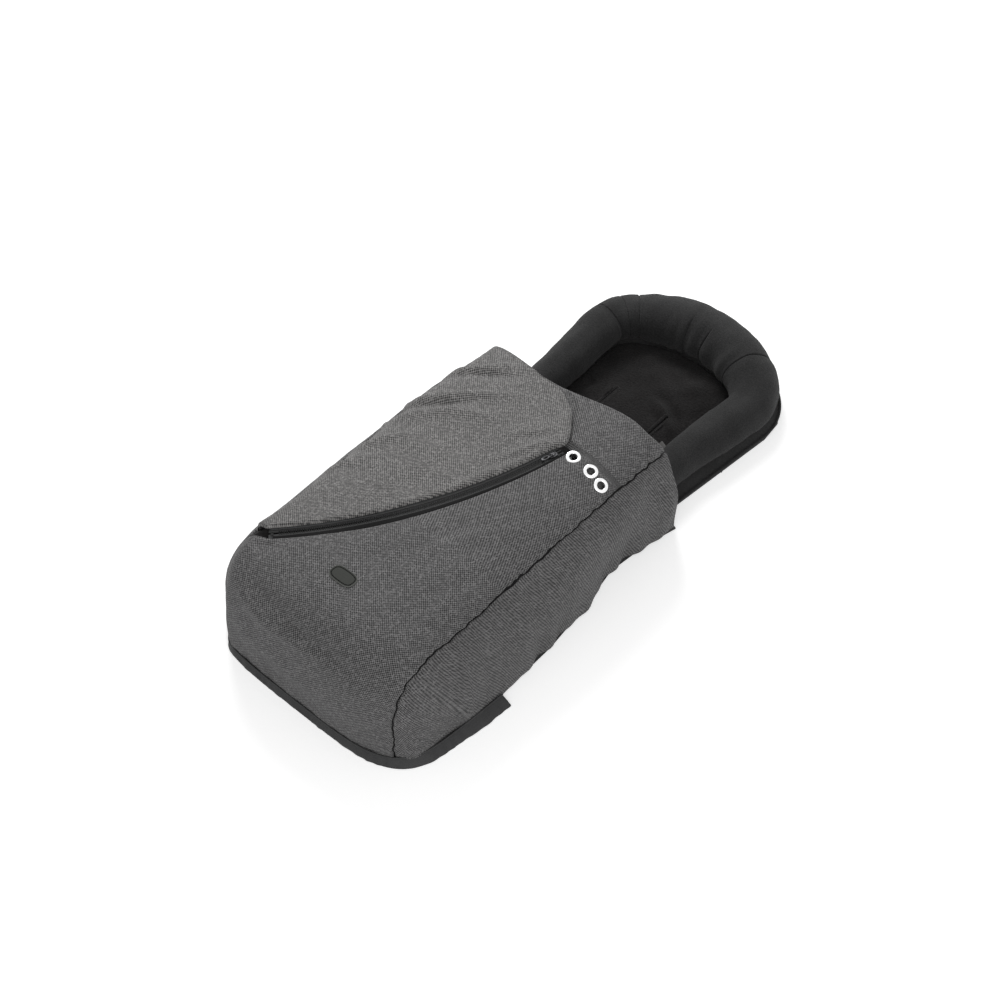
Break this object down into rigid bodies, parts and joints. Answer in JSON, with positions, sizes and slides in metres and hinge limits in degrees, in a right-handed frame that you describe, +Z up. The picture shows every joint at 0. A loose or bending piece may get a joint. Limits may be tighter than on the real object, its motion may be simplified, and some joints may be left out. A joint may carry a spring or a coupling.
{
  "type": "pushchair footmuff",
  "caption": "Padded pushchair footmuff lying flat: marl cover over the foot end, fold-back flap on a curved zip, stuffed head bolster, fleece mat with harness slots, wipeable foot pocket",
  "frame": {"origin": "On the ground under the middle of the box that holds the whole part", "axes": "+Y runs to the head end along the length, +X to the wearer's left (the eyelets' side), +Z up from the underside"},
  "size_m": [0.4626, 1.0283, 0.2016],
  "materials": {
    "marl_grey": "woven marl, matte",
    "marl_light_grey": "woven marl, matte, lighter",
    "bolster_black": "soft woven, matte",
    "fleece_black": "brushed fleece",
    "grip_sheet": "coated, wipeable",
    "white_wadding": "lofted fibre",
    "zip_tape": "fine twill",
    "gunmetal": "dark plated",
    "bright_steel": "bright plated",
    "badge_rubber": "matte, bare",
    "webbing": "ribbed narrow webbing"
  },
  "bodies": {
    "muff": {"badge_patch": "badge_rubber", "base_panel": "grip_sheet", "base_wadding": "white_wadding", "bolster_cover": "bolster_black", "bolster_filling": "white_wadding", "eyelet_1": "bright_steel", "eyelet_2": "bright_steel", "eyelet_3": "bright_steel", "eyelet_washer_1": "bright_steel", "eyelet_washer_2": "bright_steel", "eyelet_washer_3": "bright_steel", "foot_pocket": "grip_sheet", "front_lining": "fleece_black", "front_panel": "marl_grey", "front_wadding": "white_wadding", "gusset_left": "marl_grey", "gusset_lining_left": "fleece_black", "gusset_lining_right": "fleece_black", "gusset_right": "marl_grey", "gusset_wadding_left": "white_wadding", "gusset_wadding_right": "white_wadding", "head_piping": "grip_sheet", "liner_mat": "fleece_black", "pocket_binding": "grip_sheet", "side_loop": "webbing", "slot_binding_1": "webbing", "slot_binding_2": "webbing", "slot_binding_3": "webbing", "zip_bottom_stop": "gunmetal", "zip_end_tab": "bolster_black", "zip_tape_front": "zip_tape", "zip_teeth_front": "gunmetal", "zip_top_stop_front": "gunmetal"},
    "flap": {"flap_panel": "marl_light_grey", "flap_wadding": "white_wadding", "flap_lining": "fleece_black", "zip_tape_flap": "zip_tape", "zip_teeth_flap": "gunmetal", "zip_top_stop_flap": "gunmetal", "storm_placket": "bolster_black"},
    "slider": {"zip_slider": "gunmetal"},
    "pull": {"zip_pull": "gunmetal"}
  },
  "joints": [
    {"name": "flap_fold", "type": "hinge", "parent": "muff", "child": "flap", "pos_m": [-0.176, -0.135, 0.16026], "axis": [0, -1, 0], "range_deg": [0, 150]},
    {"name": "zip_travel", "type": "hinge", "parent": "muff", "child": "slider", "pos_m": [-0.66827, 0.13527, 0.1466], "axis": [0.0615, 0.0016, -0.9981], "range_deg": [0, 30.7], "deforming": ["zip_teeth_front", "zip_teeth_flap"]},
    {"name": "pull_swing", "type": "hinge", "parent": "slider", "child": "pull", "pos_m": [0.07437, -0.03791, 0.19647], "axis": [-0.9725, 0.2253, -0.0595], "range_deg": [0, 150]}
  ]
}
